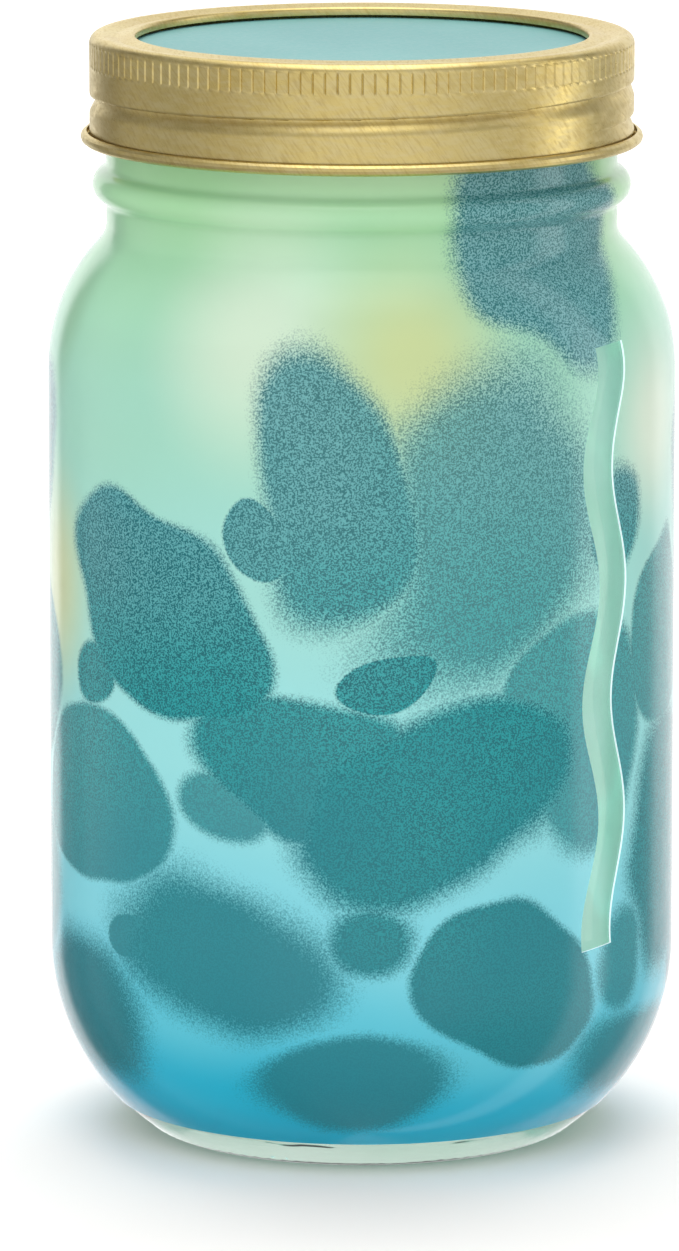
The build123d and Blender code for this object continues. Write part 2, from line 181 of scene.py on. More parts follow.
WICK_LOW = 8.4 * MM
WICK_SWAY, WICK_FOOT = 5.0 * MM, 20.0 * MM
SEED_SIZE, SEED_LOW = (46.67 * MM, 36.87 * MM), 143.35 * MM
SEED_THICKNESS, SEED_FLAP, SEED_FOLD = 1.6 * MM, 11.0 * MM, 0.4 * MM
SEED_EDGE, FLAP_SHEET, FLAP_INSET, FLAP_SAG = 0.3 * MM, 0.15 * MM, 0.08 * MM, 0.25 * MM
FOOD_SIZE, FOOD_LOW, FOOD_THICKNESS = (43.5 * MM, 34.4 * MM), 145.45 * MM, 5.0 * MM
FOOD_LUMPS, FOOD_CRIMPS = 0.35 * MM, 0.05 * MM
CARD_SIZE, CARD_LOW = (45.76 * MM, 35.88 * MM), 150.55 * MM
CARD_PANEL, CARD_PITCH, CARD_PANELS = 0.35 * MM, 0.47 * MM, 4
CARBON_SIZE, CARBON_LOW, CARBON_THICKNESS = (36.0 * MM, 26.0 * MM), 7.1 * MM, 8.0 * MM
CARBON_OFFSET, CARBON_LUMPS = -15.5 * MM, 0.9 * MM
SEAL_WIDTH, SEAL_THICKNESS = 4.0 * MM, 0.6 * MM
CRIMP_PITCH = 1.4 * MM

# How many columns go round the turned pieces, the coat and its strip
GLASS_COLUMNS, DISC_COLUMNS, GASKET_COLUMNS, PLUG_COLUMNS = 270, 240, 200, 150
STRIP_COLUMNS, COAT_COLUMNS = 6, 200
BEAD_STEPS = 26


# Outlines, drawn as (radius, height)
def arc(centre, start, end, step=0.35 * MM):
    """Points on the short arc from start to end about centre."""
    first = math.atan2(start[1] - centre[1], start[0] - centre[0])
    turn = math.atan2(end[1] - centre[1], end[0] - centre[0]) - first
    turn = (turn + math.pi) % (2 * math.pi) - math.pi
    radius = math.dist(centre, start)
    count = max(4, round(abs(turn) * radius / step))
    angles = [first + turn * i / count for i in range(count + 1)]
    return [(centre[0] + radius * math.cos(a), centre[1] + radius * math.sin(a)) for a in angles]


def line(start, end, step):
    """Evenly spaced points from start to end."""
    count = max(1, round(math.dist(start, end) / step))
    return [
        (start[0] + (end[0] - start[0]) * i / count, start[1] + (end[1] - start[1]) * i / count)
        for i in range(count + 1)
    ]


def toward(start, end, distance):
    share = distance / math.dist(start, end)
    return (start[0] + (end[0] - start[0]) * share, start[1] + (end[1] - start[1]) * share)


def leg(hypotenuse, side):
    return math.sqrt(hypotenuse**2 - side**2)


def chain(*parts):
    """One list of points from several, with no point twice in a row."""
    points = []
    for part in parts:
        for point in part:
            if not points or math.dist(points[-1], point) > 0.001 * MM:
                points.append(point)
    return points


def rounded(points, radii, step):
    """A line of points with a round of its own radius at each inner corner."""
    parts = [[points[0]]]
    for before, corner, after, radius in zip(points, points[1:], points[2:], radii):
        back = toward(corner, before, 1)
        ahead = toward(corner, after, 1)
        half = abs(math.atan2(
            (back[0] - corner[0]) * (ahead[1] - corner[1]) - (back[1] - corner[1]) * (ahead[0] - corner[0]),
            (back[0] - corner[0]) * (ahead[0] - corner[0]) + (back[1] - corner[1]) * (ahead[1] - corner[1]),
        )) / 2
        reach = radius / math.tan(half)
        start = toward(corner, before, reach)
        end = toward(corner, after, reach)
        middle = ((start[0] + end[0]) / 2, (start[1] + end[1]) / 2)
        centre = toward(corner, middle, radius / math.sin(half))
        parts.append(arc(centre, start, end, step))
    parts.append([points[-1]])
    return chain(*parts)


def aside(points, index, distance):
    """A point of a line moved sideways, to the left of the line's way."""
    before, after = points[max(0, index - 1)], points[min(len(points) - 1, index + 1)]
    length = math.dist(before, after)
    across = ((before[1] - after[1]) / length, (after[0] - before[0]) / length)
    return (points[index][0] + across[0] * distance, points[index][1] + across[1] * distance)


def offset(points, distance):
    """The line of points moved sideways."""
    return [aside(points, index, distance) for index in range(len(points))]


def heel_centre():
    across = BODY_RADIUS - HEEL_RADIUS
    return (across, FOOT_ROUND + leg(HEEL_RADIUS - FOOT_ROUND, FOOT_RADIUS - across))


def shoulder_centre():
    across = BODY_RADIUS - SHOULDER_RADIUS
    return (across, NECK_FOOT - leg(SHOULDER_RADIUS + NECK_FILLET, NECK_RADIUS + NECK_FILLET - across))


def jar_outside(grow=0.0):
    """The jar's outside from the foot up to the finish, grown outward."""
    foot = (FOOT_RADIUS, FOOT_ROUND)
    heel, shoulder = heel_centre(), shoulder_centre()
    neck = NECK_RADIUS + grow
    fillet = (NECK_RADIUS + NECK_FILLET, NECK_FOOT)
    ring = (NECK_RADIUS + RING_REACH - RING_ROUND, RING_HEIGHT)
    rise = leg(RING_ROUND + RING_FILLET, NECK_RADIUS + RING_FILLET - ring[0])
    low = (NECK_RADIUS + RING_FILLET, RING_HEIGHT - rise)
    high = (NECK_RADIUS + RING_FILLET, RING_HEIGHT + rise)
    heel_start = toward(heel, foot, HEEL_RADIUS + grow)
    heel_end = (BODY_RADIUS + grow, heel[1])
    shoulder_start = (BODY_RADIUS + grow, shoulder[1])
    shoulder_end = toward(shoulder, fillet, SHOULDER_RADIUS + grow)
    ring_start = toward(ring, low, RING_ROUND + grow)
    ring_end = toward(ring, high, RING_ROUND + grow)
    return chain(
        arc(foot, (FOOT_RADIUS, -grow), heel_start, 0.2 * MM),
        arc(heel, heel_start, heel_end, 0.6 * MM),
        line(heel_end, shoulder_start, 3 * MM),
        arc(shoulder, shoulder_start, shoulder_end, 1.2 * MM),
        arc(fillet, shoulder_end, (neck, NECK_FOOT)),
        line((neck, NECK_FOOT), (neck, low[1]), 0.5 * MM),
        arc(low, (neck, low[1]), ring_start, 0.2 * MM),
        arc(ring, ring_start, ring_end, 0.25 * MM),
        arc(high, ring_end, (neck, high[1]), 0.2 * MM),
        line((neck, high[1]), (neck, LIP_HEIGHT - LIP_ROUND), 0.32 * MM),
    )


def jar_inside():
    """From the finish over the lip, down the inside, and out along the push-up to the bearing ring."""
    heel, shoulder = heel_centre(), shoulder_centre()
    floor = PUSH_UP + GLASS_FLOOR
    inner_heel = HEEL_RADIUS - GLASS_WALL
    corner_x = heel[0] + leg(inner_heel - FLOOR_FILLET, heel[1] - floor - FLOOR_FILLET)
    corner = (corner_x, floor + FLOOR_FILLET)
    heel_start = toward(heel, corner, inner_heel)
    inner_shoulder = SHOULDER_RADIUS - GLASS_WALL
    inner_fillet = NECK_FILLET + GLASS_WALL
    fillet_x = MOUTH_RADIUS + inner_fillet
    fillet = (fillet_x, shoulder[1] + leg(inner_shoulder + inner_fillet, fillet_x - shoulder[0]))
    wall = BODY_RADIUS - GLASS_WALL
    shoulder_end = toward(shoulder, fillet, inner_shoulder)
    lip = LIP_HEIGHT - LIP_ROUND
    lip_outer, lip_inner = NECK_RADIUS - LIP_ROUND, MOUTH_RADIUS + LIP_ROUND
    ring_inner = FOOT_RADIUS - BEARING_WIDTH
    dome_height = (ring_inner**2 - PUSH_UP**2) / (2 * PUSH_UP)
    return chain(
        arc((lip_outer, lip), (NECK_RADIUS, lip), (lip_outer, LIP_HEIGHT), 0.2 * MM),
        arc((lip_inner, lip), (lip_inner, LIP_HEIGHT), (MOUTH_RADIUS, lip), 0.2 * MM),
        line((MOUTH_RADIUS, lip), (MOUTH_RADIUS, fillet[1]), 3 * MM),
        arc(fillet, (MOUTH_RADIUS, fillet[1]), shoulder_end, 0.8 * MM),
        arc(shoulder, shoulder_end, (wall, shoulder[1]), 1.2 * MM),
        line((wall, shoulder[1]), (wall, heel[1]), 3 * MM),
        arc(heel, (wall, heel[1]), heel_start, 1.2 * MM),
        arc(corner, heel_start, (corner_x, floor), 0.8 * MM),
        line((corner_x, floor), (0, floor), 2 * MM),
        arc((0, -dome_height), (0, PUSH_UP), (ring_inner, 0), 1.5 * MM),
    )


# Meshes
def new_object(name, bm, sharp_deg=38):
    """A mesh object from bm, smooth but for edges sharper than an angle."""
    bmesh.ops.recalc_face_normals(bm, faces=bm.faces)
    for face in bm.faces:
        face.smooth = True
    for edge in bm.edges:
        if len(edge.link_faces) == 2 and edge.calc_face_angle() > math.radians(sharp_deg):
            edge.smooth = False
    mesh = bpy.data.meshes.new(name)
    bm.to_mesh(mesh)
    bm.free()
    piece = bpy.data.objects.new(name, mesh)
    bpy.context.scene.collection.objects.link(piece)
    return piece


def even_angles(count):
    return [2 * math.pi * i / count for i in range(count)]


def around(angle, radius, height):
    """A point by its angle from the front, positive towards +X, with its radius and height."""
    return (radius * math.sin(angle), -radius * math.cos(angle), height)


def lathe(name, loop, angles, push=None, sharp_deg=38):
    """A closed loop of (radius, height) points turned about the axis. push moves a point by its angle."""
    bm = bmesh.new()
    rings = []
    for angle in angles:
        ring = []
        for index, (radius, height) in enumerate(loop):
            if push:
                radius, height = push(angle, radius, height, index)
            ring.append(bm.verts.new(around(angle, radius, height)))
        rings.append(ring)
    for ring, following in zip(rings, rings[1:] + rings[:1]):
        for i in range(len(loop)):
            j = (i + 1) % len(loop)
            if max(loop[i][0], loop[j][0]) > 0.001 * MM:
                bm.faces.new((ring[i], ring[j], following[j], following[i]))
    bmesh.ops.remove_doubles(bm, verts=bm.verts, dist=0.002 * MM)
    return new_object(name, bm, sharp_deg)


def smooth_step(low, high, value):
    share = min(1, max(0, (value - low) / (high - low)))
    return share * share * (3 - 2 * share)


def thread_share(angle, height, front, turn, above, below):
    """How far a thread stands out at a point, from 0 to 1, with its flanks above and below its line."""
    most = 0.0
    azimuth = math.degrees(angle)
    for lap in (-2, -1, 0, 1):
        turned = azimuth + 360 * lap
        if not turn[0] <= turned <= turn[1]:
            continue
        off = height - front - PITCH * turned / 360
        flank = above(off) if off > 0 else below(-off)
        fade = smooth_step(0, FADE_DEG, min(turned - turn[0], turn[1] - turned))
        most = max(most, flank * fade)
    return most


def glass_flank(off):
    return 1 - smooth_step(GLASS_THREAD_CREST, GLASS_THREAD_ROOT, off)


def push_glass(angle, radius, height, index):
    """The thread on the finish, the bearing ring's stippled edge and the mould's fine ripples above it."""
    on_finish = abs(radius - NECK_RADIUS) < 0.01 * MM and height > RING_HEIGHT + 4 * MM
    if on_finish:
        share = thread_share(angle, height, GLASS_THREAD_FRONT, GLASS_THREAD_TURN, glass_flank, glass_flank)
        return radius + THREAD_REACH * share, height
    if radius < FOOT_RADIUS - 0.5 * MM:
        return radius, height
    if STIPPLE_LOW < height < STIPPLE_HIGH:
        rise = math.sin(math.pi * (height - STIPPLE_LOW) / (STIPPLE_HIGH - STIPPLE_LOW))
        return radius + STIPPLE_REACH * max(0, math.cos(angle * STIPPLE_COUNT)) * rise, height
    if RIPPLE_LOW < height < RIPPLE_HIGH:
        fade = math.sin(math.pi * (height - RIPPLE_LOW) / (RIPPLE_HIGH - RIPPLE_LOW))
        drift = 2 * noise.noise(Vector(around(angle, 1.3, 0)))
        wave = math.sin(2 * math.pi * height / RIPPLE_PITCH + 3 * drift) * (0.6 + drift)
        return radius - RIPPLE_REACH * (0.5 + 0.5 * wave) * fade, height
    return radius, height


def make_jar():
    loop = chain(jar_outside(), jar_inside())
    return lathe("jar_glass", loop, even_angles(GLASS_COLUMNS), push_glass)


# Printed coat
def radius_table(grow):
    return [(height, radius) for radius, height in jar_outside(grow)]


def radius_at(table, height):
    """The outline's radius at a height, between its points."""
    for (low, first), (high, second) in zip(table, table[1:]):
        if low <= height <= high:
            share = (height - low) / max(high - low, 1e-9)
            return first + (second - first) * share
    return table[-1][1]


def strip_offset(side, height):
    """How far the sight strip's left edge, side -1, or right edge, side 1, stands from its middle line."""
    within = min(STRIP_TOP, max(STRIP_FOOT, height))
    return side * STRIP_HALF + STRIP_REACH * math.cos(2 * math.pi * (within - STRIP_CREST) / STRIP_WAVE)


def make_print():
    """The coat as a thin shell, open where the sight strip is."""
    heights = [PRINT_FOOT]
    for top, step in ((STRIP_FOOT, 1.5), (STRIP_TOP, 0.9), (NECK_FOOT, 1.0), (PRINT_TOP, 0.3)):
        heights += [point[1] for point in line((0, heights[-1]), (0, top), step * MM)][1:]
    bm = bmesh.new()
    sides = []
    for table in (radius_table(PRINT_OUTER), radius_table(PRINT_INNER)):
        rows = []
        for height in heights:
            radius = radius_at(table, height)
            left = STRIP_AZIMUTH + math.asin(strip_offset(-1, height) / BODY_RADIUS)
            right = STRIP_AZIMUTH + math.asin(strip_offset(1, height) / BODY_RADIUS)
            slant = STRIP_SLANT if STRIP_FOOT - 1 * MM < height < STRIP_TOP + 1 * MM else 0
            strip = (left, right - left, STRIP_COLUMNS, slant)
            coat = (right, 2 * math.pi - right + left, COAT_COLUMNS, -slant)
            row = []
            for start, width, count, rise in (strip, coat):
                for share in [column / count for column in range(count)]:
                    place = around(start + width * share, radius, height + rise * (share - 0.5))
                    row.append(bm.verts.new(place))
            rows.append(row)
        sides.append(rows)
    columns = STRIP_COLUMNS + COAT_COLUMNS

    def is_open(row, column):
        middle = (heights[row] + heights[row + 1]) / 2
        return column < STRIP_COLUMNS and STRIP_FOOT < middle < STRIP_TOP

    def quad(material, *corners):
        """A face between four corners, each given by its side, row and column."""
        face = bm.faces.new([sides[side][row][column] for side, row, column in corners])
        face.material_index = material

    for row in range(len(heights) - 1):
        over = row + 1
        for column in range(columns):
            after = (column + 1) % columns
            if is_open(row, column):
                continue
            for side in (0, 1):
                quad(side, (side, row, column), (side, row, after), (side, over, after), (side, over, column))
            for beside, edge in (((column - 1) % columns, column), (after, after)):
                if is_open(row, beside):
                    quad(1, (0, row, edge), (0, over, edge), (1, over, edge), (1, row, edge))
            for beyond, edge in ((row - 1, row), (over, over)):
                outermost = beyond < 0 or beyond == len(heights) - 1
                if outermost or is_open(beyond, column):
                    quad(1, (0, edge, column), (0, edge, after), (1, edge, after), (1, edge, column))
    return new_object("coat_print", bm)


# Screw band
def band_centreline():
    """The middle of the sheet, from its lip over the top, down the side and round the bead."""
    half = BAND_SHEET / 2
    wall, top, lip = BAND_RADIUS - half, BAND_TOP - half, BAND_LIP_RADIUS + half
    bead = (wall + BEAD_ROLL, BAND_FOOT + half + BEAD_ROLL)
    corners = [
        (lip, BAND_TOP - BAND_LIP_DROP),
        (lip, top - 0.02 * MM),
        (VALLEY_RADIUS, top - VALLEY_DROP),
        (CROWN_RADIUS, top),
        (wall, top),
        (wall, KNURL_FOOT - KNURL_FADE),
    ]
    over = rounded(corners, [BAND_LIP_ROUND, VALLEY_ROUND, CROWN_ROUND, EDGE_ROUND], 0.22 * MM)
    over = chain(over[:-1], line(over[-2], corners[-1], 0.3 * MM))
    side = line(corners[-1], (wall, bead[1] + 1 * MM), 0.11 * MM)
    turns = [math.pi + math.radians(BEAD_DEG) * i / BEAD_STEPS for i in range(BEAD_STEPS + 1)]
    roll = [(bead[0] + BEAD_ROLL * math.cos(a), bead[1] + BEAD_ROLL * math.sin(a)) for a in turns]
    return chain(over, side, [(wall, bead[1])], roll)


def groove_above(off):
    """The land over the groove rounds in towards its edge, and then drops straight to the groove's bottom."""
    edge = 0.22 * max(0, 1 - off / GROOVE_EDGE) ** 2
    return max(edge, 1 - off / GROOVE_ABOVE)


def groove_below(off):
    return (1 - smooth_step(0, GROOVE_BELOW, off)) ** 1.15


def knurl_angles():
    """For each knurl its middle and its two edges."""
    step = 2 * math.pi / KNURL_COUNT
    half = KNURL_HALF / BAND_RADIUS
    return [step * i + a for i in range(KNURL_COUNT) for a in (0, half, step - half)]


def make_band():
    centre = band_centreline()
    outside = offset(centre, BAND_SHEET / 2)
    inside = offset(centre, -BAND_SHEET / 2)
    loop = outside + inside[:0:-3] + inside[:1]
    thread = (BAND_THREAD_FRONT, BAND_THREAD_TURN, groove_above, groove_below)

    def push(angle, radius, height, index):
        if abs(radius - BAND_RADIUS) < BAND_SHEET * 1.1 and height > BAND_FOOT + 2.2 * BEAD_ROLL:
            azimuth = (angle + math.pi) % (2 * math.pi) - math.pi
            radius -= GROOVE_DEPTH * thread_share(azimuth, height, *thread)
            if index < len(outside) and KNURL_FOOT - KNURL_FADE < height:
                place = angle * KNURL_COUNT / (2 * math.pi) % 1
                if min(place, 1 - place) < 0.01:
                    low = smooth_step(KNURL_FOOT - KNURL_FADE, KNURL_FOOT, height)
                    high = 1 - smooth_step(KNURL_TOP, KNURL_TOP + KNURL_FADE, height)
                    radius -= KNURL_DEPTH * low * high
        return radius, height

    return lathe("band_gold", loop, knurl_angles(), push, 28)


# Lid disc, gasket and label
def sheet_loop(centre, thickness):
    return offset(centre, thickness / 2) + offset(centre, -thickness / 2)[::-1]


def make_disc():
    panel = DISC_RING_HEIGHT - DISC_PANEL_DROP
    rim = DISC_RADIUS - DISC_SHEET / 2
    corners = [
        (0, panel),
        (DISC_RING_INNER - DISC_STEP, panel),
        (DISC_RING_INNER, DISC_RING_HEIGHT),
        (rim, DISC_RING_HEIGHT),
        (rim, DISC_RING_HEIGHT - DISC_RIM_DROP),
    ]
    centre = rounded(corners, [DISC_ROUND] * 3, 0.08 * MM)
    return lathe("disc_tinplate", sheet_loop(centre, DISC_SHEET), even_angles(DISC_COLUMNS))


def make_gasket():
    outer = DISC_RADIUS - DISC_SHEET - GASKET_GAP
    inner = outer - GASKET_WIDTH
    top = DISC_RING_HEIGHT - DISC_SHEET / 2
    low = top - GASKET_THICKNESS
    middle = (inner + outer) / 2
    corners = [(middle, low), (outer, low), (outer, top), (inner, top), (inner, low), (middle, low)]
    loop = rounded(corners, [GASKET_ROUND] * 4, 0.1 * MM)[:-1]
    return lathe("gasket_ring", loop, even_angles(GASKET_COLUMNS))


def make_label():
    low = DISC_RING_HEIGHT - DISC_PANEL_DROP + DISC_SHEET / 2
    top = low + LABEL_THICKNESS
    flat = LABEL_RADIUS - LABEL_EDGE
    loop = [
        (0, low), (flat, low), (LABEL_RADIUS, low + LABEL_EDGE), (LABEL_RADIUS, top - LABEL_EDGE),
        (flat, top), (LABEL_RADIUS / 2, top), (0, top),
    ]
    return lathe("label_card", loop, even_angles(DISC_COLUMNS))


# Planting kit
def ribbon(name, path, section):
    """A strip with a closed section of (across, sideways) points that follows a path of (x, z) points."""
    bm = bmesh.new()
    rings = []
    for index in range(len(path)):
        ring = []
        for across, sideways in section:
            x, z = aside(path, index, across)
            ring.append(bm.verts.new((x, sideways, z)))
        rings.append(ring)
    for ring, following in zip(rings, rings[1:]):
        for i in range(len(ring)):
            j = (i + 1) % len(ring)
            bm.faces.new((ring[i], ring[j], following[j], following[i]))
    bm.faces.new(rings[0])
    bm.faces.new(rings[-1])
    return new_object(name, bm)


def make_wick():
    """The felt strip, from inside the plug down to the jar's floor, with soft edges and a little fuzz."""
    under = POT_FLOOR - POT_SHEET - WICK_THICKNESS
    drop = under - WICK_LOW
    corners = [
        (0, WICK_TOP), (0, under), (WICK_SWAY, WICK_LOW + drop * 0.68), (-WICK_SWAY, WICK_LOW + drop * 0.34),
        (WICK_SWAY, WICK_LOW), (WICK_SWAY + WICK_FOOT, WICK_LOW),
    ]
    bends = rounded(corners, WICK_BENDS, 1 * MM)
    path = chain(*[line(start, end, 1 * MM) for start, end in zip(bends, bends[1:])])
    half, half_width = WICK_THICKNESS / 2, WICK_WIDTH / 2
    x, y = half - WICK_EDGE, half_width - WICK_EDGE
    section = chain(
        line((-half, -y), (-half, y), 1 * MM),
        arc((-x, y), (-half, y), (-x, half_width), 0.3 * MM),
        arc((x, y), (x, half_width), (half, y), 0.3 * MM),
        line((half, y), (half, -y), 1 * MM),
        arc((x, -y), (half, -y), (x, -half_width), 0.3 * MM),
        arc((-x, -y), (-x, -half_width), (-half, -y), 0.3 * MM)[:-1],
    )
    wick = ribbon("wick_strip", path, section)
    for vertex in wick.data.vertices:
        vertex.co -= vertex.normal * WICK_FUZZ * (0.5 + 0.5 * noise.noise(vertex.co * 900))
    return wick


def make_plug():
    """The coir plug: a rough tapered puck with a seed hollow above and a slot for the wick below."""
    low, top = PLUG_FOOT, PLUG_TOP
    foot = (PLUG_FOOT_RADIUS - PLUG_CHAMFER, low)
    shoulder = (PLUG_FOOT_RADIUS + PLUG_FLARE, low + PLUG_CHAMFER)
    rim = (PLUG_RADIUS - PLUG_ROUND, top - PLUG_ROUND)
    tip = (HOLLOW_TIP, top - HOLLOW_DEPTH)
    loop = chain(
        line((0, low), foot, 1.2 * MM),
        line(foot, shoulder, 1.2 * MM),
        line(shoulder, (PLUG_RADIUS, rim[1]), 1.2 * MM),
        arc(rim, (PLUG_RADIUS, rim[1]), (rim[0], top)),
        line((rim[0], top), (HOLLOW_RADIUS, top), 1.2 * MM),
        line((HOLLOW_RADIUS, top), tip, 1 * MM),
        line(tip, (0, tip[1]), 1 * MM),
    )
    plug = lathe("coir_plug", loop, even_angles(PLUG_COLUMNS))
    half, half_width = WICK_THICKNESS / 2 + POT_WICK_GAP, WICK_WIDTH / 2 + POT_WICK_GAP
    bm = bmesh.new()
    bmesh.ops.create_cube(bm, size=2)
    height = WICK_TOP + POT_WICK_GAP - low + SLOT_OVERRUN
    for vertex in bm.verts:
        vertex.co.x *= half
        vertex.co.y *= half_width
        vertex.co.z = low - SLOT_OVERRUN + height * (vertex.co.z > 0)
    cutter = new_object("wick_slot", bm)
    cut = plug.modifiers.new("slot", "BOOLEAN")
    cut.object, cut.operation, cut.solver = cutter, "DIFFERENCE", "EXACT"
    bpy.context.view_layer.update()
    graph = bpy.context.evaluated_depsgraph_get()
    slotted = bpy.data.meshes.new_from_object(plug.evaluated_get(graph))
    plug.modifiers.clear()
    plug.data = slotted
    bpy.data.objects.remove(cutter)
    for vertex in plug.data.vertices:
        rough = noise.noise(vertex.co * 420) + 0.5 * noise.noise(vertex.co * 1100)
        vertex.co -= vertex.normal * PLUG_ROUGH * min(1, max(0, 0.5 + 0.6 * rough))
    return plug


def bag(name, size, centre, turned, height_above, height_below, step=0.7 * MM):
    """A closed bag on a grid. Its heights are functions of a place's shares, -1 to 1, and of its x and y."""
    columns, rows = round(size[0] / step), round(size[1] / step)
    bm = bmesh.new()
    layers = []
    for height in (height_above, height_below):
        layer = []
        for i in range(columns + 1):
            for j in range(rows + 1):
                u, v = 2 * i / columns - 1, 2 * j / rows - 1
                pinch = 1 - 0.02 * (abs(u) * abs(v)) ** 12
                x, y = u * pinch * size[0] / 2, v * pinch * size[1] / 2
                z = height(u, v, x, y)
                if turned:
                    x, y = -y, x
                layer.append(bm.verts.new((centre + x, y, z)))
        layers.append(layer)

    def at(layer, i, j):
        return layers[layer][i * (rows + 1) + j]

    for layer in (0, 1):
        for i in range(columns):
            for j in range(rows):
                corners = ((i, j), (i + 1, j), (i + 1, j + 1), (i, j + 1))
                bm.faces.new([at(layer, *corner) for corner in corners])
    rim = [(i, 0) for i in range(columns)] + [(columns, j) for j in range(rows)]
    rim += [(columns - i, rows) for i in range(columns)] + [(0, rows - j) for j in range(rows)]
    for first, second in zip(rim, rim[1:] + rim[:1]):
        bm.faces.new([at(0, *first), at(0, *second), at(1, *second), at(1, *first)])
    return new_object(name, bm, 60)


def crown(u, v, power):
    """0 at the rim of a bag and 1 over its middle."""
    return (1 - abs(u) ** power) * (1 - abs(v) ** power)


def make_seed_packet():
    """A paper envelope, slightly full, with its flap folded over one end."""

    def above(u, v, x, y):
        return SEED_LOW + SEED_EDGE + (SEED_THICKNESS - SEED_EDGE) * crown(u, v, 5) ** 0.6

    def below(u, v, x, y):
        return SEED_LOW + 0.05 * MM * (1 - crown(u, v, 3))

    def flap_above(u, v, x, y):
        return SEED_LOW + SEED_THICKNESS + SEED_FOLD - FLAP_INSET - FLAP_SAG * max(0, -u) ** 3

    def flap_below(u, v, x, y):
        return flap_above(u, v, x, y) - FLAP_SHEET

    envelope = bag("seed_envelope", SEED_SIZE, 0, False, above, below)
    flap_size = (SEED_FLAP, SEED_SIZE[1] - 1 * MM)
    flap_middle = (SEED_SIZE[0] - SEED_FLAP) / 2 - 0.5 * MM
    return envelope, bag("seed_flap", flap_size, flap_middle, False, flap_above, flap_below)


def sachet_height(size, low, thickness, side, lump, crimp):
    """The height of one side of a sachet: a flat seam, a filled middle, lumps, and crimps at its ends."""
    middle = low + thickness / 2
    rise = thickness / 2 - SEAL_THICKNESS / 2

    def height(u, v, x, y):
        margins = [(1 - abs(share)) / (2 * SEAL_WIDTH / length) - 0.5 for share, length in zip((u, v), size)]
        across = [min(1, max(0, margin)) for margin in margins]
        fill = [1 - (1 - share) ** 2 for share in across]
        full = (fill[0] * fill[1]) ** 0.7
        lumps = lump * (0.5 + 0.5 * noise.noise(Vector((x, y, low)) * 330)) * full
        ridges = crimp * math.cos(2 * math.pi * x / CRIMP_PITCH) * (across[0] == 0)
        return middle + side * (SEAL_THICKNESS / 2 - 0.05 * MM + rise * full - lumps) + ridges

    return height


def make_food_sachet():
    shape = (FOOD_SIZE, FOOD_LOW, FOOD_THICKNESS)
    sides = [sachet_height(*shape, side, FOOD_LUMPS, FOOD_CRIMPS) for side in (1, -1)]
    sachet = bag("food_sachet", FOOD_SIZE, 0, False, *sides, step=0.35 * MM)
    return sachet


def make_carbon_sachet():
    shape = (CARBON_SIZE, CARBON_LOW, CARBON_THICKNESS)
    sides = [sachet_height(*shape, side, CARBON_LUMPS, 0) for side in (1, -1)]
    sachet = bag("carbon_bag", CARBON_SIZE, CARBON_OFFSET, True, *sides)
    return sachet


def make_card():
    """The leaflet, folded to and fro."""
    corners = []
    for index in range(CARD_PANELS):
        ends = [-CARD_SIZE[0] / 2 + CARD_PANEL / 2, CARD_SIZE[0] / 2 - CARD_PANEL / 2]
        if index % 2:
            ends.reverse()
        corners += [(end, CARD_LOW + CARD_PANEL / 2 + CARD_PITCH * index) for end in ends]
    path = rounded(corners, [CARD_PITCH * 0.45] * (len(corners) - 2), 0.06 * MM)
    half, half_width = CARD_PANEL / 2, CARD_SIZE[1] / 2
    below = [(-half, side * half_width) for side in (-1, 0, 1)]
    above = [(half, side * half_width) for side in (1, 0, -1)]
    return ribbon("leaflet", path, below + above)


# Materials
NOISE_RANGE = (0.3, 0.7)


